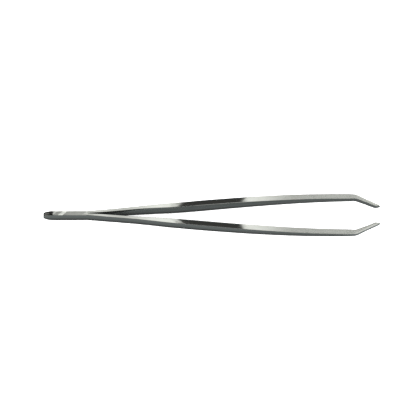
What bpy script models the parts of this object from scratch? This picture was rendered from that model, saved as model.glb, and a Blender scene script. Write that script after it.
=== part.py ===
"""Aquascaping tweezers: two bowed spring-steel arms, seam-welded together at the heel.

The tweezers lie on one narrow edge. X runs from the heel to the tips, Y is the way the arms
open, and Z runs across the arms' width. The origin is on the resting plane, under the middle
of the overall length. Distances called "run" are measured along an arm from its heel end.
"""

import math

import bmesh
import bpy
from mathutils import Vector
from mathutils.geometry import interpolate_bezier

# Overall sizes, in metres.
LENGTH = 0.200  # heel end to tip end
WIDTH = 0.0120  # broad face, from the heel to the grip
NECK_WIDTH = 0.0058  # broad face where the tips bend inward
TIP_WIDTH = 0.0046  # broad face just before the rounded tip end
TIP_THICKNESS = 0.0017  # before the jaw pad is ground
CLEARANCE = 0.0003  # between neighbouring solids

# Plan of one arm's centreline, from the heel end, before the other arm mirrors it in Y.
SEAM_GAP = 0.00015  # half the gap between the two leaves inside the weld
HEEL_LEAF = 0.00115  # leaf thickness inside the weld
SPLIT_X = 0.0260  # the weld ends and the arms part here
SPLIT_SLOPE = 0.070  # how steeply each arm leaves the middle plane
SPLIT_REACH = 0.062  # length of the curve's handle at the split
BEND_X = 0.1853  # corner of the bent tip
BEND_Y = 0.01085
BEND_REACH = 0.054  # length of the curve's handle at the bend
BEND_RADIUS = 0.0065
TIP_ANGLE = math.radians(23.5)  # the tips point towards each other by this much

# Thickness of an arm at a few runs, joined by smooth ramps.
THICKNESS_STOPS = (
    (0.0000, HEEL_LEAF),
    (SPLIT_X, HEEL_LEAF),
    (0.0400, 0.00155),
    (0.0520, 0.00165),
    (0.0800, 0.00280),
    (0.0960, 0.00300),
    (0.1260, 0.00315),
    (0.1800, 0.00315),
    (0.1940, 0.00205),
    (0.2020, TIP_THICKNESS),
)

# The broad face narrows from the grip to the neck along a gentle curve.
TAPER_START = 0.0900
TAPER_END = 0.1800
TAPER_POWER = 1.2

# The end of each tip's inner face is ground parallel to the middle plane, so the jaws meet flat.
PAD_LENGTH = 0.0028
TIP_LIP = TIP_THICKNESS - PAD_LENGTH * math.tan(TIP_ANGLE)  # thickness left at the very end

# Edges and weld.
EDGE_BREAK = 0.00022  # chamfer along every long edge
THIN_EDGE_SHARE = 0.2  # on thin metal the chamfer is this share of the thickness instead
GROOVE_WIDTH = 0.0005  # weld groove on each leaf's inner edge, across the thickness
GROOVE_DEPTH = 0.0008  # the same groove, in from the edge
BEAD_HALF_WIDTH = 0.00029
BEAD_DEPTH = 0.00047

# The arms flex most just past the weld: one hinge each stands for that stretch.
FLEX_X = 0.0410

STATION_STEP = 0.0040
BEND_STEPS = 8
BEND_SPAN = 0.004  # every bend point within this distance of the corner is a station
MARK_GAP = 0.0005  # and keeps this distance from the stretch's start
AXIS_TOUCH = 1e-6  # half widths below this meet in one vertex
SHARP_ANGLE = math.radians(30)
CURVE_POINTS = 60
END_ARC_STEPS = 14

STEEL = ("polished_steel", (0.60, 0.61, 0.60), 0.22)
WELD = ("ground_weld", (0.50, 0.50, 0.48), 0.35)


def material(look):
    """A metallic Principled material from a (name, colour, roughness) look."""
    name, colour, roughness = look
    mat = bpy.data.materials.get(name) or bpy.data.materials.new(name)
    mat.use_nodes = True
    shader = mat.node_tree.nodes["Principled BSDF"]
    shader.inputs["Base Color"].default_value = (*colour, 1.0)
    shader.inputs["Roughness"].default_value = roughness
    shader.inputs["Metallic"].default_value = 1.0
    return mat


def smooth(u):
    """0 to 1 with level ends."""
    u = min(1.0, max(0.0, u))
    return u * u * (3 - 2 * u)


def thickness(run):
    """Arm thickness at a run, ramped between the stops."""
    for (a, low), (b, high) in zip(THICKNESS_STOPS, THICKNESS_STOPS[1:]):
        if run <= b:
            return low + (high - low) * smooth((run - a) / (b - a))
    return THICKNESS_STOPS[-1][1]


def side_width(run, end):
    """Broad face width at a run, before the ends are rounded. end is the arm's full run."""
    if run <= TAPER_START:
        return WIDTH
    if run <= TAPER_END:
        share = (run - TAPER_START) / (TAPER_END - TAPER_START)
        return WIDTH - (WIDTH - NECK_WIDTH) * share**TAPER_POWER
    share = (run - TAPER_END) / (end - TAPER_END)
    return NECK_WIDTH - (NECK_WIDTH - TIP_WIDTH) * share


def pad_cut(run, end):
    """How far the jaw pad is ground into the inner face at a run."""
    return max(0.0, run - (end - PAD_LENGTH)) * math.tan(TIP_ANGLE)


def edge_break(solid):
    """Chamfer of an edge on metal of a given thickness."""
    return min(EDGE_BREAK, THIN_EDGE_SHARE * solid)


def centreline():
    """Points along the +Y arm's centreline in plan, from the heel end to the tip end."""
    leaf_y = SEAM_GAP + HEEL_LEAF / 2
    split = Vector((SPLIT_X, leaf_y, 0))
    tangent = BEND_RADIUS * math.tan(TIP_ANGLE / 2)
    bend_start = Vector((BEND_X - tangent, BEND_Y, 0))
    handle_a = split + Vector((1, SPLIT_SLOPE, 0)) * SPLIT_REACH
    handle_b = bend_start - Vector((BEND_REACH, 0, 0))
    points = [Vector((0, leaf_y, 0))]
    points += interpolate_bezier(split, handle_a, handle_b, bend_start, CURVE_POINTS)
    for i in range(1, BEND_STEPS + 1):
        turn = TIP_ANGLE * i / BEND_STEPS
        sweep = Vector((math.sin(turn), math.cos(turn) - 1, 0))
        points.append(bend_start + sweep * BEND_RADIUS)
    heading = Vector((math.cos(TIP_ANGLE), -math.sin(TIP_ANGLE), 0))
    overhang = (TIP_THICKNESS / 2 - edge_break(TIP_LIP)) * math.sin(TIP_ANGLE)
    reach = (LENGTH - overhang - points[-1].x) / heading.x
    points.append(points[-1] + heading * reach)
    return points


class Path:
    """The centreline with running lengths: gives the place and direction at any run."""

    def __init__(self, points):
        self.points = points
        self.runs = [0.0]
        for a, b in zip(points, points[1:]):
            self.runs.append(self.runs[-1] + (b - a).length)
        self.end = self.runs[-1]

    def at(self, run):
        """Point and unit direction at a run; the direction turns evenly between points."""
        last = len(self.runs) - 2
        i = max(k for k in range(last + 1) if self.runs[k] <= max(run, 0.0))
        share = (run - self.runs[i]) / (self.runs[i + 1] - self.runs[i])
        point = self.points[i].lerp(self.points[i + 1], share)
        here = self.points[i + 1] - self.points[i]
        return point, here.normalized()

    def run_at_x(self, x):
        """The run at which the centreline passes a distance from the heel end."""
        for i, point in enumerate(self.points[1:]):
            if point.x >= x:
                span = point.x - self.points[i].x
                share = (x - self.points[i].x) / span
                return self.runs[i] + share * (self.runs[i + 1] - self.runs[i])
        return self.end


PATH = Path(centreline())


def outline(start, stop):
    """Upper half of the broad face's outline: (run, half width, outward normal) per station.

    A start at the heel end or a stop at the tip end is rounded to a half circle.
    """
    heel_r, tip_r = WIDTH / 2, TIP_WIDTH / 2
    stations = []
    low, high = start, stop
    if start <= 0:
        low = heel_r
        for i in range(END_ARC_STEPS):
            a = math.pi / 2 * i / END_ARC_STEPS
            place = (heel_r * (1 - math.cos(a)), heel_r * math.sin(a))
            stations.append((*place, (-math.cos(a), math.sin(a))))
    if stop >= PATH.end:
        high = PATH.end - tip_r
    marks = {low, high}
    fixed = (SPLIT_X, TAPER_START, PATH.end - PAD_LENGTH)
    marks.update(r for r in fixed if low < r < high)
    marks.update(r for r in PATH.runs if max(low + MARK_GAP, BEND_X - BEND_SPAN) < r < high)
    count = max(1, round((high - low) / STATION_STEP))
    spread = (low + (high - low) * i / count for i in range(1, count))
    marks.update(r for r in spread if min(abs(r - m) for m in marks) > STATION_STEP / 3)
    for run in sorted(marks):
        stations.append((run, side_width(run, PATH.end) / 2, (0.0, 1.0)))
    if stop >= PATH.end:
        for i in range(1, END_ARC_STEPS + 1):
            a = math.pi / 2 * i / END_ARC_STEPS
            place = (high + tip_r * math.sin(a), tip_r * math.cos(a))
            stations.append((*place, (math.sin(a), math.cos(a))))
    return stations


def place(run, across, height, side):
    """A point of the arm on one side (+1 or -1): across is measured outward from the centreline."""
    point, heading = PATH.at(run)
    normal = Vector((-heading.y, heading.x, 0))
    spot = point + normal * across
    return Vector((spot.x - LENGTH / 2, side * spot.y, WIDTH / 2 + height))


def edge_layers(run):
    """(offset across the thickness, inset from the outline) of the four rings of a strip."""
    half = thickness(run) / 2
    face = -half + pad_cut(run, PATH.end)
    edge = edge_break(half - face)
    if run < SPLIT_X:
        inner = ((face, GROOVE_DEPTH), (face + GROOVE_WIDTH, 0.0))
    else:
        inner = ((face, edge), (face + edge, 0.0))
    outer = ((half - edge, 0.0), (half, edge))
    return inner + outer


def ring_points(bm, stations, layer, side):
    """One closed ring of vertices round the strip's outline, as (upper, lower) pairs."""
    pairs = []
    for run, half, normal in stations:
        across, inset = edge_layers(run)[layer]
        run_in = run - inset * normal[0]
        height = max(0.0, half - inset * normal[1])
        upper = bm.verts.new(place(run_in, across, height, side))
        lower = upper
        if half > AXIS_TOUCH:
            lower = bm.verts.new(place(run_in, across, -height, side))
        pairs.append((upper, lower))
    return pairs


def add_face(bm, corners):
    """A face from corners, leaving out any that repeat at a pointed end."""
    unique = list(dict.fromkeys(corners))
    if len(unique) > 2:
        bm.faces.new(unique)


def finish_mesh(bm, name, look):
    """Turns the mesh into an object with its faces pointing out and smooth round its curves."""
    bmesh.ops.recalc_face_normals(bm, faces=bm.faces)
    mesh = bpy.data.meshes.new(name)
    bm.to_mesh(mesh)
    bm.free()
    mesh.materials.append(material(look))
    mesh.shade_smooth()
    mesh.set_sharp_from_angle(angle=SHARP_ANGLE)
    obj = bpy.data.objects.new(name, mesh)
    bpy.context.scene.collection.objects.link(obj)
    return obj


def strip(name, start, stop, side):
    """A closed length of arm between two runs, with chamfered edges and rounded free ends."""
    bm = bmesh.new()
    stations = outline(start, stop)
    rings = [ring_points(bm, stations, layer, side) for layer in range(4)]
    for ring in (rings[0], rings[-1]):
        for (up_a, low_a), (up_b, low_b) in zip(ring, ring[1:]):
            add_face(bm, (up_a, up_b, low_b, low_a))
    for inner, outer in zip(rings, rings[1:]):
        for level in (0, 1):
            for a in range(len(stations) - 1):
                corners = (inner[a][level], inner[a + 1][level])
                add_face(bm, corners + (outer[a + 1][level], outer[a][level]))
        for end in (0, -1):
            add_face(bm, inner[end] + outer[end][::-1])
    return finish_mesh(bm, name, STEEL)


def weld_bead(name):
    """The seam weld: a wedge that runs along both edges of the heel and round its end."""
    radius = WIDTH / 2
    stop = SPLIT_X - CLEARANCE
    half_turn = [math.pi * (0.5 + i / (2 * END_ARC_STEPS)) for i in range(2 * END_ARC_STEPS + 1)]
    spots = [(stop, radius, (0.0, 1.0))]
    spots += [
        (radius + radius * math.cos(a), radius * math.sin(a), (math.cos(a), math.sin(a)))
        for a in half_turn
    ]
    spots.append((stop, -radius, (0.0, -1.0)))
    bm = bmesh.new()
    rows = []
    for x, z, (nx, nz) in spots:
        face = Vector((x - LENGTH / 2, 0, WIDTH / 2 + z))
        root = face - Vector((nx, 0, nz)) * BEAD_DEPTH
        width = Vector((0, BEAD_HALF_WIDTH, 0))
        rows.append([bm.verts.new(v) for v in (face + width, face - width, root)])
    for a, b in zip(rows, rows[1:]):
        for i in range(3):
            j = (i + 1) % 3
            bm.faces.new((a[i], a[j], b[j], b[i]))
    bm.faces.new(rows[0])
    bm.faces.new(rows[-1])
    return finish_mesh(bm, name, WELD)


def hang_on_hinge(arm, side, cut):
    """Parents an arm to an empty on its flex line, so that it turns about that line."""
    hinge = bpy.data.objects.new(arm.name + "_flex_line", None)
    hinge.location = place(cut, 0, 0, side)
    bpy.context.scene.collection.objects.link(hinge)
    arm.data.transform(hinge.matrix_basis.inverted())
    arm.parent = hinge


def build():
    cut = PATH.run_at_x(FLEX_X)
    for side, word in ((1, "left"), (-1, "right")):
        strip(word + "_heel_leaf", 0.0, cut - CLEARANCE / 2, side)
        arm = strip(word + "_arm", cut + CLEARANCE / 2, PATH.end, side)
        hang_on_hinge(arm, side, cut)
    weld_bead("heel_weld")


for old in list(bpy.data.objects):
    bpy.data.objects.remove(old)
build()
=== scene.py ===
"""The looks of the aquascaping tweezers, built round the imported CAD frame.

Each arm is drawn as one unbroken strip of steel that bends between the heel and the moving arm.
X runs from the heel to the tips, Y is the way the arms open, Z is up. Units are metres.
"Run" is a distance along an arm from its heel end, "across" goes through its thickness, and
"height" goes over its broad face from mid-width.
"""

import math

import bmesh
import bpy
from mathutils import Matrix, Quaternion, Vector
from mathutils.geometry import interpolate_bezier


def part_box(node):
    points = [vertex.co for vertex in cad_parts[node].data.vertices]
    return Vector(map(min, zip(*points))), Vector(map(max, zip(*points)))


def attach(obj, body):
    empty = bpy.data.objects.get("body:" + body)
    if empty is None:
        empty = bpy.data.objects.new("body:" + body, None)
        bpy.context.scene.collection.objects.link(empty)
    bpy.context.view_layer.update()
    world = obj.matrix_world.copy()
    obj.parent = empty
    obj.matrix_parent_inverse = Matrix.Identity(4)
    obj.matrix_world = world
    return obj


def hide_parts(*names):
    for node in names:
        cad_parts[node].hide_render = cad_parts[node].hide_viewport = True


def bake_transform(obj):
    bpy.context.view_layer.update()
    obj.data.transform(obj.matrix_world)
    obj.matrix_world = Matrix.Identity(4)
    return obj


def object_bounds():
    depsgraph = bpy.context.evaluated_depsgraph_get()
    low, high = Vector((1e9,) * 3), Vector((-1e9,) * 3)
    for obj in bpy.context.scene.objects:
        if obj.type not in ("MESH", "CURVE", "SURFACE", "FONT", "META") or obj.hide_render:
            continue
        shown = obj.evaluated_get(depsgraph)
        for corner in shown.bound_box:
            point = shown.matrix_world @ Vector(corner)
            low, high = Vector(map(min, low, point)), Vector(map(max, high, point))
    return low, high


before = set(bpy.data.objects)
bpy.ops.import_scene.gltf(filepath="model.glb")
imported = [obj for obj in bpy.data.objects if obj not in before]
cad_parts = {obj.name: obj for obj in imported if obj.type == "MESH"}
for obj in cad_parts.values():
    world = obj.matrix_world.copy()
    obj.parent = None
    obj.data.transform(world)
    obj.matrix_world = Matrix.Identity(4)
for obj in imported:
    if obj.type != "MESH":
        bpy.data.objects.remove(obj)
CAD_LOW, CAD_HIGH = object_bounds()
MM = 0.001

# Sizes that come from the frame.
LENGTH = CAD_HIGH.x - CAD_LOW.x
WIDTH = CAD_HIGH.z - CAD_LOW.z
HEEL_X = CAD_LOW.x
MID_Z = (CAD_HIGH.z + CAD_LOW.z) / 2
WELD_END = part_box("heel_weld")[1].x - HEEL_X

# The arm's plan curve and sections, the same design as the CAD strips.
LEAF_FACE = 1.30 * MM  # outer face of a heel leaf, from the middle plane
SEAM_GAP = 0.02 * MM
SEAM_RADIUS = 0.02 * MM
HEEL_LEAF = LEAF_FACE - SEAM_GAP
SPLIT_X = 26.0 * MM
SPLIT_SLOPE = 0.070
SPLIT_REACH = 62.0 * MM
BEND_X = 185.3 * MM
BEND_Y = 10.85 * MM
BEND_REACH = 54.0 * MM
BEND_RADIUS = 6.5 * MM
TIP_ANGLE = math.radians(23.5)
NECK_WIDTH = 5.8 * MM
TIP_WIDTH = 4.6 * MM
TIP_THICKNESS = 1.7 * MM
PAD_LENGTH = 2.8 * MM  # the jaw pad, ground parallel to the middle plane
TIP_LIP = TIP_THICKNESS - PAD_LENGTH * math.tan(TIP_ANGLE)
TIP_EDGE_BREAK = 0.2 * TIP_LIP  # the CAD strip's chamfer at its very end
THICKNESS_STOPS = (
    (0.0 * MM, HEEL_LEAF),
    (SPLIT_X, HEEL_LEAF),
    (40.0 * MM, 1.55 * MM),
    (52.0 * MM, 1.65 * MM),
    (80.0 * MM, 2.80 * MM),
    (96.0 * MM, 3.00 * MM),
    (126.0 * MM, 3.15 * MM),
    (180.0 * MM, 3.15 * MM),
    (194.0 * MM, 2.05 * MM),
    (202.0 * MM, TIP_THICKNESS),
)
TAPER_START = 90.0 * MM
TAPER_END = 180.0 * MM
TAPER_POWER = 1.2

# Fine shape that the CAD strips leave out.
EDGE_RADIUS = 0.15 * MM
NECK_RADIUS = 0.75 * MM  # the outer edges are rounded off more from the grip to the tips
ROUNDING_START = 145.0 * MM
ROUNDING_END = 178.0 * MM
OUTER_SHARE = 0.4  # the most of the thickness that each rounded edge may take
INNER_SHARE = 0.3
EDGE_STEPS = 6
FACE_CROWN = 0.07 * MM
CROWN_RUN_IN = 10.0 * MM  # past the split, where the inner face gains its crown
FACE_ROWS = 10
SERRATION_LENGTH = 9.0 * MM
SERRATION_PITCH = 0.8 * MM
SERRATION_DEPTH = 0.10 * MM
STATION_STEP = 1.0 * MM
FINE_PAST_SPLIT = 2.0 * MM
FINE_ROUND_BEND = 4.0 * MM
CURVE_POINTS = 160
BEND_STEPS = 14
END_ARC_STEPS = 24

# The left arm sits rolled a little about its length, so that its inner face turns up. The line it
# turns about is given as (run, height), with the height as a share of the half width.
ARM_ROLL = math.radians(3.0)
ROLL_START = 38.0 * MM
ROLL_FULL = 60.0 * MM
ROLL_LINE = ((62.0 * MM, 0.0), (84.0 * MM, 1.0), (130.0 * MM, 1.0), (180.0 * MM, 0.5))

# Grinding steps that cross the heel's narrow edges on the slant, in millimetres: each is a short
# drop and then a slow climb, as (run, length of the drop, depth).
GRINDING_STEPS = ((6.2, 1.2, 0.014), (10.6, 2.8, 0.058))
STEP_SLANT = 1.3  # run gained per unit of Y
STEP_CLIMB = 4.0  # drop lengths over which the edge climbs back

# Weld seam round the heel.
BEAD_HALF = 0.22 * MM
BEAD_PROUD = 0.008 * MM
BEAD_SHOULDER = 0.03 * MM
BEAD_SUNK = 0.25 * MM
RIPPLE_PITCH = 0.9 * MM
RIPPLE_DEPTH = 0.004 * MM
RIPPLE_STEPS = 6
BEAD_RUN_OUT = 0.06 * MM  # the bead sinks out of sight at its two ends

# Mesh clean-up.
MERGE_DISTANCE = 0.002 * MM
SLIVER = 0.001 * MM
SHARP_ANGLE = math.radians(35)
FLATNESS_WEIGHT = 80

# Camera.
PICTURE_SHARE = 0.8024  # share of the picture's width that the tweezers fill
FIELD = math.radians(10)
SENSOR_WIDTH = 36.0
ELEVATION = math.radians(75.3)
AIM = Vector((-1.1 * MM, 3.3 * MM, MID_Z))
CAMERA_ROLL = math.radians(0.1)


# ---------------------------------------------------------------- shape of an arm


def smooth(u):
    """0 to 1 with level ends."""
    u = min(1.0, max(0.0, u))
    return u * u * (3 - 2 * u)


def ramped(stops, run):
    """The value at a run from (run, value) stops joined by smooth ramps."""
    for (a, low), (b, high) in zip(stops, stops[1:]):
        if run <= b:
            return low + (high - low) * smooth((run - a) / (b - a))
    return stops[-1][1]


def thickness(run):
    return ramped(THICKNESS_STOPS, run)


def side_width(run, end):
    """Width of the broad face: full to the grip, then tapered to the neck and on to the tip."""
    if run <= TAPER_START:
        return WIDTH
    if run <= TAPER_END:
        share = (run - TAPER_START) / (TAPER_END - TAPER_START)
        return WIDTH - (WIDTH - NECK_WIDTH) * share**TAPER_POWER
    return NECK_WIDTH - (NECK_WIDTH - TIP_WIDTH) * (run - TAPER_END) / (end - TAPER_END)


def centreline():
    """Points along the +Y arm's centreline in plan, from the heel end to the tip end."""
    leaf_y = SEAM_GAP + HEEL_LEAF / 2
    split = Vector((SPLIT_X, leaf_y, 0))
    tangent = BEND_RADIUS * math.tan(TIP_ANGLE / 2)
    bend_start = Vector((BEND_X - tangent, BEND_Y, 0))
    handle_a = split + Vector((1, SPLIT_SLOPE, 0)) * SPLIT_REACH
    handle_b = bend_start - Vector((BEND_REACH, 0, 0))
    points = [Vector((0, leaf_y, 0))]
    points += interpolate_bezier(split, handle_a, handle_b, bend_start, CURVE_POINTS)
    for i in range(1, BEND_STEPS + 1):
        turn = TIP_ANGLE * i / BEND_STEPS
        points.append(bend_start + Vector((math.sin(turn), math.cos(turn) - 1, 0)) * BEND_RADIUS)
    heading = Vector((math.cos(TIP_ANGLE), -math.sin(TIP_ANGLE), 0))
    overhang = (TIP_THICKNESS / 2 - TIP_EDGE_BREAK) * math.sin(TIP_ANGLE)
    points.append(points[-1] + heading * (LENGTH - overhang - points[-1].x) / heading.x)
    return points


class Path:
    """The centreline with running lengths: gives the place and direction at any run."""

    def __init__(self, points):
        self.points = points
        self.runs = [0.0]
        for a, b in zip(points, points[1:]):
            self.runs.append(self.runs[-1] + (b - a).length)
        self.end = self.runs[-1]

    def at(self, run):
        i = max(k for k in range(len(self.runs) - 1) if self.runs[k] <= max(run, 0.0))
        share = (run - self.runs[i]) / (self.runs[i + 1] - self.runs[i])
        spot = self.points[i].lerp(self.points[i + 1], share)
        return spot, (self.points[i + 1] - self.points[i]).normalized()


PATH = Path(centreline())


def rolled(run, across, height):
    """Where a point of a strip's section moves to when the arm is rolled."""
    turn = ARM_ROLL * smooth((run - ROLL_START) / (ROLL_FULL - ROLL_START))
    centre = side_width(run, PATH.end) / 2 * ramped(ROLL_LINE, run)
    above = height - centre
    moved = across * math.cos(turn) + above * math.sin(turn)
    return moved, centre + above * math.cos(turn) - across * math.sin(turn)


def place(run, across, height, side):
    """World position of a point of the left (side 1) or right (side -1) arm."""
    spot, heading = PATH.at(run)
    if side > 0:
        across, height = rolled(run, across, height)
    spot = spot + Vector((-heading.y, heading.x, 0)) * across
    return Vector((HEEL_X + spot.x, side * spot.y, MID_Z + height))


def stations():
    """(run, half width, outline normal) at every station, heel end to tip end."""
    heel_r, tip_r = WIDTH / 2, TIP_WIDTH / 2
    low, high = heel_r, PATH.end - tip_r
    rows = []
    for i in range(END_ARC_STEPS):
        a = math.pi / 2 * i / END_ARC_STEPS
        rows.append((heel_r * (1 - math.cos(a)), heel_r * math.sin(a), -math.cos(a), math.sin(a)))
    runs = [low]
    while runs[-1] < high:
        step = STATION_STEP
        if runs[-1] < SPLIT_X + FINE_PAST_SPLIT:
            step = STATION_STEP / 4
        if abs(runs[-1] - BEND_X) < FINE_ROUND_BEND:
            step = STATION_STEP / 3
        if runs[-1] > PATH.end - SERRATION_LENGTH - STATION_STEP:
            step = SERRATION_PITCH / 8
        runs.append(min(high, runs[-1] + step))
    for run in runs:
        rows.append((run, side_width(run, PATH.end) / 2, 0.0, 1.0))
    for i in range(1, END_ARC_STEPS + 1):
        a = math.pi / 2 * i / END_ARC_STEPS
        rows.append((high + tip_r * math.sin(a), tip_r * math.cos(a), math.sin(a), math.cos(a)))
    return rows


def serration(run):
    """How far the inner face is cut back at a run: a row of small V teeth at the tip."""
    into = run - (PATH.end - SERRATION_LENGTH)
    if into <= 0:
        return 0.0
    phase = (into / SERRATION_PITCH) % 1.0
    return SERRATION_DEPTH * (1 - abs(2 * phase - 1))


def pad_cut(run):
    """How far the jaw pad is ground into the inner face at a run."""
    return max(0.0, run - (PATH.end - PAD_LENGTH)) * math.tan(TIP_ANGLE)


def edge_profile(run):
    """(across, inset) over the narrow edge, from the inner face's corner to the outer face's."""
    half = thickness(run) / 2
    face = -half + pad_cut(run) + serration(run)
    rounding = smooth((run - ROUNDING_START) / (ROUNDING_END - ROUNDING_START))
    freed = smooth((run - WELD_END) / STATION_STEP)
    outer = EDGE_RADIUS + (NECK_RADIUS - EDGE_RADIUS) * rounding
    outer = min(outer, OUTER_SHARE * (half - face))
    inner = min(EDGE_RADIUS * freed + SEAM_RADIUS, INNER_SHARE * (half - face))
    turns = [math.pi / 2 * i / EDGE_STEPS for i in range(EDGE_STEPS + 1)]
    profile = [(face + inner * (1 - math.cos(a)), inner * (1 - math.sin(a))) for a in turns]
    profile += [(half - outer * (1 - math.sin(a)), outer * (1 - math.cos(a))) for a in turns]
    return profile


def section(run, half_width, nx, nz):
    """Closed loop of (run, across, height) points round the strip at one station."""
    half = thickness(run) / 2
    upper = [
        (run - inset * nx, across, max(0.0, half_width - inset * nz))
        for across, inset in edge_profile(run)
    ]
    lower = [(r, across, -height) for r, across, height in reversed(upper)]
    fractions = [1 - 2 * k / FACE_ROWS for k in range(1, FACE_ROWS)]
    crown = FACE_CROWN * min(1.0, half_width / (WIDTH / 2))
    r_out, _, h_out = upper[-1]
    outer = [(r_out, half + crown * (1 - f * f), f * h_out) for f in fractions]
    r_in, a_in, h_in = upper[0]
    open_crown = crown * smooth((run - SPLIT_X) / CROWN_RUN_IN)
    inner = [(r_in, a_in - open_crown * (1 - f * f), -f * h_in) for f in fractions]
    return upper + outer + lower + inner


def loft(bm, loops):
    """Faces between consecutive loops of vertices, with the two ends capped."""
    for a, b in zip(loops, loops[1:]):
        for i in range(len(a)):
            j = (i + 1) % len(a)
            bm.faces.new((a[i], a[j], b[j], b[i]))
    bm.faces.new(loops[0])
    bm.faces.new(loops[-1])


def build_arm(name, side, mat):
    """One strip of steel from its heel end to its tip, with its grain laid along it."""
    bm = bmesh.new()
    grain = bm.verts.layers.float_vector.new("grain")
    loops = []
    for row in stations():
        loop = []
        for run, across, height in section(*row):
            vert = bm.verts.new(place(run, across, height, side))
            vert[grain] = Vector((run, (across + LEAF_FACE / 2) * side, height)) / MM
            loop.append(vert)
        loops.append(loop)
    loft(bm, loops)
    return finish_mesh(bm, name, mat)


def finish_mesh(bm, name, mat):
    """Cleans the mesh and makes an object whose flats stay flat between its rounded edges."""
    bmesh.ops.remove_doubles(bm, verts=bm.verts, dist=MERGE_DISTANCE)
    bmesh.ops.dissolve_degenerate(bm, edges=bm.edges, dist=SLIVER)
    bmesh.ops.recalc_face_normals(bm, faces=bm.faces)
    mesh = bpy.data.meshes.new(name)
    bm.to_mesh(mesh)
    bm.free()
    mesh.materials.append(mat)
    mesh.shade_smooth()
    mesh.set_sharp_from_angle(angle=SHARP_ANGLE)
    obj = bpy.data.objects.new(name, mesh)
    bpy.context.scene.collection.objects.link(obj)
    flats = obj.modifiers.new("flat_faces", "WEIGHTED_NORMAL")
    flats.keep_sharp = True
    flats.weight = FLATNESS_WEIGHT
    return obj


def build_weld(name, mat):
    """The ground seam round the heel: a low ribbon with faint ripples along it."""
    radius = WIDTH / 2
    straight = WELD_END - radius
    total = 2 * straight + math.pi * radius
    count = round(total / RIPPLE_PITCH) * RIPPLE_STEPS
    bm = bmesh.new()
    grain = bm.verts.layers.float_vector.new("grain")
    loops = []
    for i in range(count + 1):
        along = total * i / count
        if along < straight:
            x, z, nx, nz = WELD_END - along, radius, 0.0, 1.0
        elif along > total - straight:
            x, z, nx, nz = WELD_END - (total - along), -radius, 0.0, -1.0
        else:
            a = math.pi / 2 + (along - straight) / radius
            nx, nz = math.cos(a), math.sin(a)
            x, z = radius + radius * nx, radius * nz
        ripple = RIPPLE_DEPTH * math.sin(2 * math.pi * along / RIPPLE_PITCH)
        ripple -= BEAD_RUN_OUT * (1 - smooth(min(along, total - along) / RIPPLE_PITCH))
        profile = (
            (-1, -BEAD_SUNK), (-1, -BEAD_SHOULDER), (-0.5, ripple), (0, BEAD_PROUD + ripple),
            (0.5, ripple), (1, -BEAD_SHOULDER), (1, -BEAD_SUNK))
        loop = []
        for y, rise in profile:
            spot = Vector((HEEL_X + x + nx * rise, y * BEAD_HALF, MID_Z + z + nz * rise))
            vert = bm.verts.new(spot)
            vert[grain] = Vector((along, y * BEAD_HALF, rise)) / MM
            loop.append(vert)
        loops.append(loop)
    loft(bm, loops)
    return finish_mesh(bm, name, mat)


# ---------------------------------------------------------------- materials


def grey(brightness):
    return brightness, brightness, brightness, 1


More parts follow.
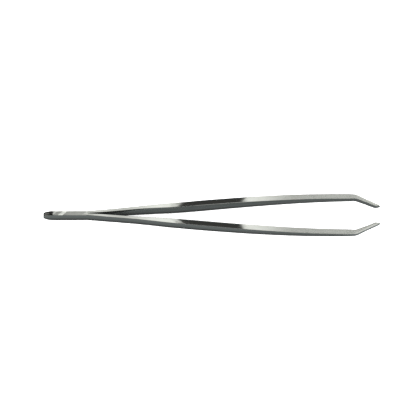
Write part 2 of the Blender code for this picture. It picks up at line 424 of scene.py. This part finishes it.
class Nodes:
    """Short names for building a node tree."""

    def __init__(self, tree):
        self.tree = tree

    def add(self, kind, **settings):
        node = self.tree.nodes.new(kind)
        for key, value in settings.items():
            setattr(node, key, value)
        return node

    def link(self, source, target):
        self.tree.links.new(source, target)

    def value(self, thing, socket):
        """Feeds a number, a colour or another node's output into a socket."""
        if isinstance(thing, (int, float, tuple)):
            socket.default_value = thing
        else:
            self.link(thing, socket)

    def math(self, operation, a, b=0.0, c=0.0):
        node = self.add("ShaderNodeMath", operation=operation)
        for thing, socket in zip((a, b, c), node.inputs):
            self.value(thing, socket)
        return node.outputs[0]

    def times(self, a, b):
        return self.math("MULTIPLY", a, b)

    def scaled(self, value, factor, offset):
        """value x factor + offset."""
        return self.math("MULTIPLY_ADD", value, factor, offset)

    def split(self, vector):
        """The three components of a vector."""
        node = self.add("ShaderNodeSeparateXYZ")
        self.link(vector, node.inputs[0])
        return node.outputs

    def ramp(self, value, low, high, out_low=0.0, out_high=1.0, kind="SMOOTHSTEP"):
        node = self.add("ShaderNodeMapRange", interpolation_type=kind)
        self.value(value, node.inputs["Value"])
        limits = {"From Min": low, "From Max": high, "To Min": out_low, "To Max": out_high}
        for key, number in limits.items():
            self.value(number, node.inputs[key])
        return node.outputs[0]

    def mix(self, factor, a, b, blend="MIX"):
        """Mixes two colours. Sockets 6 and 7 and output 2 are the node's colour ones."""
        node = self.add("ShaderNodeMix", data_type="RGBA", blend_type=blend)
        self.value(factor, node.inputs["Factor"])
        self.value(a, node.inputs[6])
        self.value(b, node.inputs[7])
        return node.outputs[2]

    def tinted(self, a, b):
        """Two colours multiplied."""
        return self.mix(1.0, a, b, blend="MULTIPLY")

    def noise(self, vector, cells, detail=2.0, roughness=0.5):
        """Noise with so many cells per unit along each axis of the vector."""
        stretched = self.add("ShaderNodeVectorMath", operation="MULTIPLY")
        self.link(vector, stretched.inputs[0])
        stretched.inputs[1].default_value = cells
        node = self.add("ShaderNodeTexNoise")
        node.inputs["Scale"].default_value = 1.0
        node.inputs["Detail"].default_value = detail
        node.inputs["Roughness"].default_value = roughness
        self.link(stretched.outputs[0], node.inputs["Vector"])
        return node.outputs["Fac"]

    def bump(self, height, distance, strength=1.0, below=None):
        """A normal bumped by a height, on top of an earlier bump."""
        node = self.add("ShaderNodeBump")
        node.inputs["Distance"].default_value = distance
        self.value(strength, node.inputs["Strength"])
        self.link(height, node.inputs["Height"])
        if below is not None:
            self.link(below, node.inputs["Normal"])
        return node.outputs[0]

    def tones(self, value, stops):
        """A grey ramp through (position, brightness) stops, with positions in the value's units."""
        low, high = stops[0][0], stops[-1][0]
        node = self.add("ShaderNodeValToRGB")
        self.link(self.ramp(value, low, high, kind="LINEAR"), node.inputs[0])
        elements = node.color_ramp.elements
        elements.remove(elements[-1])
        elements[0].position = 0.0
        elements[0].color = grey(stops[0][1])
        for position, brightness in stops[1:]:
            stop = elements.new((position - low) / (high - low))
            stop.color = grey(brightness)
        return node.outputs[0]


def new_material(name):
    mat = bpy.data.materials.new(name)
    mat.use_nodes = True
    return mat, Nodes(mat.node_tree), mat.node_tree.nodes["Principled BSDF"]


# Steel. Noise cells are counted per millimetre along, through and over the strip.
STEEL_DARK = (0.565, 0.58, 0.535, 1)
STEEL_PALE = (0.685, 0.70, 0.655, 1)
STEEL_WORN = (0.76, 0.775, 0.725, 1)
WORN_SHARE = 0.25
EDGE_FACING = (0.6, 0.85)  # how far up or down a face looks, from the broad faces to the edges
SATIN_RUNS = (124.0, 165.0)  # millimetres over which the polish gives way to satin
POLISHED_ROUGHNESS = 0.018
SATIN_ROUGHNESS = 0.17  # this and the next two are added to the polished steel's own
SIDE_ROUGHNESS = 0.12
LINE_ROUGHNESS = 0.05
POLISHED_LINES = 0.02  # strength of the lines' relief
SATIN_LINES = 0.08  # this and the next are added on satin and on the broad faces
SIDE_LINES = 0.08
EDGE_LINE_CELLS = (4.0, 0.35, 0.2)
SIDE_LINE_CELLS = (0.05, 1.0, 2.5)
PATCH_CELLS = (0.22, 0.5, 0.5)
WAVE_CELLS = (0.16, 0.5, 0.12)
LINE_DEPTH = 0.006 * MM
WAVE_DEPTH = 0.004 * MM


def steel():
    """Polished steel at the heel and grip that turns to fine cross-ground satin towards the tips."""
    mat, n, shader = new_material("polished_steel")
    grain = n.add("ShaderNodeAttribute", attribute_name="grain").outputs["Vector"]
    run, sideways, _ = n.split(grain)
    upward = n.split(n.add("ShaderNodeNewGeometry").outputs["Normal"])[2]
    on_edge = n.ramp(n.math("ABSOLUTE", upward), *EDGE_FACING)
    on_side = n.math("SUBTRACT", 1.0, on_edge)
    satin = n.times(n.ramp(run, *SATIN_RUNS), on_edge)

    # Fine lines across the narrow edges, and long drawing lines down the broad faces.
    cross = n.noise(grain, EDGE_LINE_CELLS, detail=4.0, roughness=0.65)
    long = n.noise(grain, SIDE_LINE_CELLS, detail=4.0, roughness=0.6)
    lines = n.mix(on_edge, long, cross)
    satin_lines = n.times(lines, satin)

    patches = n.noise(grain, PATCH_CELLS, detail=3.0)
    tint = n.mix(patches, STEEL_DARK, STEEL_PALE)
    colour = n.mix(n.times(satin_lines, WORN_SHARE), tint, STEEL_WORN)
    n.link(colour, shader.inputs["Base Color"])
    shader.inputs["Metallic"].default_value = 1.0

    rough = n.scaled(satin, SATIN_ROUGHNESS, POLISHED_ROUGHNESS)
    rough = n.scaled(on_side, SIDE_ROUGHNESS, rough)
    rough = n.scaled(satin_lines, LINE_ROUGHNESS, rough)
    n.link(rough, shader.inputs["Roughness"])

    strength = n.scaled(on_side, SIDE_LINES, n.scaled(satin, SATIN_LINES, POLISHED_LINES))
    lined = n.bump(lines, LINE_DEPTH, strength)
    waved = n.bump(n.noise(grain, WAVE_CELLS, detail=1.0), WAVE_DEPTH, below=lined)
    ground = n.bump(grinding_steps(n, run, sideways, on_edge), MM, below=waved)
    n.link(ground, shader.inputs["Normal"])
    return mat


def grinding_steps(n, run, sideways, on_edge):
    """Height in millimetres of the slanting steps ground into the heel's narrow edges."""
    slanted = n.scaled(sideways, -STEP_SLANT, run)
    height = 0.0
    for start, length, depth in GRINDING_STEPS:
        stop = start + length
        drop = n.ramp(slanted, start, stop, 0.0, -depth, kind="LINEAR")
        climb = n.ramp(slanted, stop, stop + length * STEP_CLIMB, 0.0, depth, kind="LINEAR")
        height = n.math("ADD", height, n.math("ADD", drop, climb))
    return n.times(height, on_edge)


WELD_DARK = (0.46, 0.45, 0.42, 1)
WELD_PALE = (0.66, 0.66, 0.63, 1)
WELD_CELLS = (1.2, 3.0, 3.0)
WELD_ROUGHNESS = 0.25
WELD_MOTTLE_ROUGHNESS = 0.15


def weld_metal():
    """Ground weld: duller steel than the arms', and a little mottled."""
    mat, n, shader = new_material("ground_weld")
    grain = n.add("ShaderNodeAttribute", attribute_name="grain").outputs["Vector"]
    mottle = n.noise(grain, WELD_CELLS, detail=4.0)
    n.link(n.mix(mottle, WELD_DARK, WELD_PALE), shader.inputs["Base Color"])
    shader.inputs["Metallic"].default_value = 1.0
    n.link(n.scaled(mottle, WELD_MOTTLE_ROUGHNESS, WELD_ROUGHNESS), shader.inputs["Roughness"])
    return mat


# ---------------------------------------------------------------- table

# Painted reflection of the table: what steel sees of it, as (reach, brightness), where the reach is
# the distance from the steel in millimetres. It is painted dim close up as painted contact shade,
# and paler farther away, and brighter from the heel's and the tips' quarters than from the side.
TABLE_FROM_SIDE = (
    (0.0, 0.04), (1.0, 0.05), (3.0, 0.08), (5.0, 0.14), (8.0, 0.19), (13.0, 0.21),
    (30.0, 0.23), (60.0, 0.26), (200.0, 0.45), (600.0, 0.65))
TABLE_FROM_QUARTER = (
    (0.0, 0.14), (4.0, 0.28), (12.0, 0.46), (40.0, 0.60), (200.0, 0.75), (600.0, 0.80))
QUARTER_LEAN = (0.25, 0.5)  # part of the ray along the tweezers, from the side to the quarters
NEAR_CAST = (0.89, 0.97, 1.0, 1)  # a cool cast close up
CAST_REACH = (15.0, 60.0)

# The painted light and shade that the arms leave on the table's painted reflection, as
# (share of the length, brightness).
PAINTED_SHADE_BETWEEN_ARMS = (
    (0.0, 0.30), (0.18, 0.30), (0.23, 0.34), (0.27, 0.62), (0.32, 0.80), (0.50, 0.85), (1.0, 0.92))
PAINTED_SHADE_OUTSIDE_ARMS = ((0.0, 0.98), (0.3, 0.91), (0.5, 0.92), (0.75, 0.80), (1.0, 0.82))
BETWEEN_ARMS = (-2.0 * MM, -0.7 * MM)
FARTHER_IN = 0.72  # of the light between the arms, away from the steel
FARTHER_REACH = (5.0, 12.0)
# Painted light added to the table's painted reflection beyond the tips.
SPILL = 0.15  # brightness added beyond the tips
SPILL_START = (0.43 * LENGTH, 0.55 * LENGTH)
SPILL_REACH = (0.0, 4.0)
FLOOR_GLOW = 0.72
FLOOR_SIZE = 8.0
FLOOR_GAP = 0.2 * MM


def painted_table_reflection(n, path):
    """The painted reflection of the table: the colour that polished steel sees in place of the
    table.
    """
    surface = n.add("ShaderNodeNewGeometry")
    along, sideways, _ = n.split(surface.outputs["Position"])
    ray_along = n.split(surface.outputs["Incoming"])[0]
    reach = n.math("DIVIDE", path.outputs["Ray Length"], MM)
    quarter = n.ramp(n.math("ABSOLUTE", ray_along), *QUARTER_LEAN)
    tone = n.mix(quarter, n.tones(reach, TABLE_FROM_SIDE), n.tones(reach, TABLE_FROM_QUARTER))

    # Painted shade: the arms darken the table's painted reflection between them, most of all near
    # the heel.
    share = n.math("DIVIDE", n.math("SUBTRACT", along, HEEL_X), LENGTH)
    farther = n.mix(n.ramp(reach, *FARTHER_REACH), grey(1.0), grey(FARTHER_IN))
    inside = n.tinted(n.tones(share, PAINTED_SHADE_BETWEEN_ARMS), farther)
    between = n.ramp(sideways, *BETWEEN_ARMS)
    light = n.mix(between, n.tones(share, PAINTED_SHADE_OUTSIDE_ARMS), inside)

    # Painted light spills on to the table's painted reflection beyond the tips.
    beyond = n.ramp(n.math("SUBTRACT", along, sideways), *SPILL_START)
    lift = n.times(n.times(beyond, SPILL), n.ramp(reach, *SPILL_REACH))
    cast = n.mix(n.ramp(reach, *CAST_REACH), NEAR_CAST, grey(1.0))
    coloured = n.mix(n.math("ADD", tone, lift), grey(0.0), cast)
    return n.tinted(coloured, light)


def pale_floor():
    """A bright white table that shows polished steel a painted reflection in tones of its own."""
    mat, n, shader = new_material("pale_floor")
    shader.inputs["Base Color"].default_value = grey(0.9)
    shader.inputs["Roughness"].default_value = 1.0
    shader.inputs["Specular IOR Level"].default_value = 0.0
    shader.inputs["Emission Color"].default_value = grey(1.0)
    shader.inputs["Emission Strength"].default_value = FLOOR_GLOW
    # Glossy rays see the table's painted reflection, an emission, instead of its white.
    path = n.add("ShaderNodeLightPath")
    mirrored = n.add("ShaderNodeEmission")
    n.link(painted_table_reflection(n, path), mirrored.inputs["Color"])
    mix = n.add("ShaderNodeMixShader")
    n.link(path.outputs["Is Glossy Ray"], mix.inputs[0])
    n.link(shader.outputs[0], mix.inputs[1])
    n.link(mirrored.outputs[0], mix.inputs[2])
    n.link(mix.outputs[0], mat.node_tree.nodes["Material Output"].inputs["Surface"])
    return mat


def floor():
    bpy.ops.mesh.primitive_plane_add(size=FLOOR_SIZE, location=(0, 0, CAD_LOW.z - FLOOR_GAP))
    obj = bpy.context.object
    obj.name = "floor"
    obj.data.materials.append(pale_floor())


# ---------------------------------------------------------------- studio

# Painted reflection of what the narrow edges see overhead: two softboxes with a dark gap between
# them, shown to glossy rays only, so they light nothing. Each stop is (slope, brightness). The
# slope is how far the seen direction leans towards the tips, per unit at right angles to the
# tweezers, over the sine of the camera's elevation.
OVERHEAD = (
    (-0.1600, 0.02), (-0.0950, 0.02), (-0.0790, 0.03), (-0.0710, 0.54), (-0.0640, 0.57),
    (-0.0590, 0.63), (-0.0530, 0.67), (-0.0495, 0.93), (-0.0466, 1.05), (-0.0425, 0.86),
    (-0.0383, 0.82), (-0.0341, 0.90), (-0.0300, 1.02), (-0.0258, 1.20), (-0.0220, 1.28),
    (-0.0150, 1.26), (-0.0132, 0.055), (0.0785, 0.055), (0.0820, 1.20), (0.0930, 1.12),
    (0.0985, 1.00), (0.1040, 0.82), (0.1130, 0.71), (0.1220, 0.64), (0.1300, 0.61),
    (0.1700, 0.60), (0.2200, 0.85), (0.3500, 1.10))
BEYOND_HEEL = 0.11
BEYOND_HEEL_SLOPES = (-0.9, -1.6)
GAP_CENTRE = 0.0326
GAP_SKEW = 0.0079  # farther back the gap lies a little nearer the heel,
GAP_WIDENING = 0.013  # and is a little wider
FARTHER_BACK = (0.257, 0.34)  # the seen direction's Y

# Where the softboxes give way to the room: by slope behind and ahead, and on the far side of the
# tweezers by slope and by the seen direction's Y.
BEHIND = (-8.0, -4.0)
AHEAD = (0.50, 0.38)
ASIDE = (-0.3, -0.5)
ASIDE_BACK = (0.35, 0.5)
HORIZON = 0.02

# What the broad faces see: the room's painted reflection, by the height of the seen direction and
# by its bearing, in degrees from the tips' direction. The two brightnesses multiply.
ROOM_BY_HEIGHT = ((-1.0, 0.10), (-0.2, 0.30), (0.0, 0.50), (0.25, 0.90), (0.55, 0.75), (1.0, 0.60))
ROOM_BY_BEARING = (
    (-180.0, 0.7), (-100.0, 0.7), (-75.0, 1.2), (-45.0, 1.4), (-28.0, 0.25), (5.0, 0.15),
    (25.0, 1.4), (60.0, 1.4), (100.0, 0.9), (180.0, 0.7))
ROOM_LIGHT = 2.0  # as a lamp, and to the camera


def room(n, x, y, z):
    """A painted reflection of the walls round the table, seen by polished steel only."""
    bearing = n.math("DEGREES", n.math("ARCTAN2", y, x))
    return n.tinted(n.tones(z, ROOM_BY_HEIGHT), n.tones(bearing, ROOM_BY_BEARING))


def softboxes(n, slope, y):
    """The painted softboxes overhead, seen in reflections only. Farther back they stand askew."""
    back = n.ramp(y, *FARTHER_BACK, kind="LINEAR")
    skew = n.scaled(n.math("SUBTRACT", slope, GAP_CENTRE), -GAP_WIDENING, GAP_SKEW)
    overhead = n.tones(n.scaled(back, skew, slope), OVERHEAD)
    return n.mix(n.ramp(slope, *BEYOND_HEEL_SLOPES), overhead, grey(BEYOND_HEEL))


def under_softboxes(n, slope, y, z):
    """1 for the directions in which the softboxes hide the room, 0 for the others."""
    lengthwise = n.times(n.ramp(slope, *BEHIND), n.ramp(slope, *AHEAD))
    aside = n.times(n.ramp(slope, *ASIDE), n.ramp(y, *ASIDE_BACK))
    over = n.times(lengthwise, n.math("SUBTRACT", 1.0, aside))
    return n.times(over, n.math("GREATER_THAN", z, HORIZON))


def studio():
    """White surroundings that light the scene evenly, and a painted reflection that polished steel
    sees in their place: softboxes overhead and a room.
    """
    world = bpy.data.worlds.new("studio")
    bpy.context.scene.world = world
    world.use_nodes = True
    world.node_tree.nodes.clear()
    n = Nodes(world.node_tree)
    x, y, z = n.split(n.add("ShaderNodeTexCoord").outputs["Generated"])
    off_axis = n.math("SQRT", n.math("SUBTRACT", 1.0, n.times(x, x)))
    slope = n.math("DIVIDE", x, n.times(off_axis, math.sin(ELEVATION)))
    mirrored = n.mix(under_softboxes(n, slope, y, z), room(n, x, y, z), softboxes(n, slope, y))

    # Glossy rays see the painted reflection; all others see the even white that lights the scene.
    path = n.add("ShaderNodeLightPath")
    colour = n.mix(path.outputs["Is Glossy Ray"], grey(ROOM_LIGHT), mirrored)
    background = n.add("ShaderNodeBackground")
    n.link(colour, background.inputs["Color"])
    n.link(background.outputs[0], n.add("ShaderNodeOutputWorld").inputs["Surface"])


def camera():
    """A long lens almost overhead, tilted a little towards the tweezers' near side."""
    cam = bpy.data.cameras.new("camera")
    obj = bpy.data.objects.new("camera", cam)
    bpy.context.scene.collection.objects.link(obj)
    bpy.context.scene.camera = obj
    distance = LENGTH / PICTURE_SHARE / 2 / math.tan(FIELD / 2)
    cam.sensor_width = SENSOR_WIDTH
    cam.lens = SENSOR_WIDTH / 2 / math.tan(FIELD / 2)
    back = Vector((0, -math.cos(ELEVATION), math.sin(ELEVATION)))
    obj.location = AIM + back * distance
    obj.rotation_mode = "QUATERNION"
    turn = (-back).to_track_quat("-Z", "Y")
    turn.rotate(Quaternion(back, -CAMERA_ROLL))
    obj.rotation_quaternion = turn
    cam.clip_start = 0.01
    cam.clip_end = 100


def build():
    """Makes the two arms and the weld seam, ties the seam to the frame's heel body and sets the
    stage.
    """
    mat = steel()
    for side, word in ((1, "left"), (-1, "right")):
        arm = build_arm(word + "_arm_steel", side, mat)
        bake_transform(arm)
        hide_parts(word + "_heel_leaf", word + "_arm")
    weld = build_weld("heel_weld_seam", weld_metal())
    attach(weld, "heel")
    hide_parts("heel_weld")
    studio()
    floor()
    camera()
    bpy.context.scene.view_settings.view_transform = "Standard"


build()
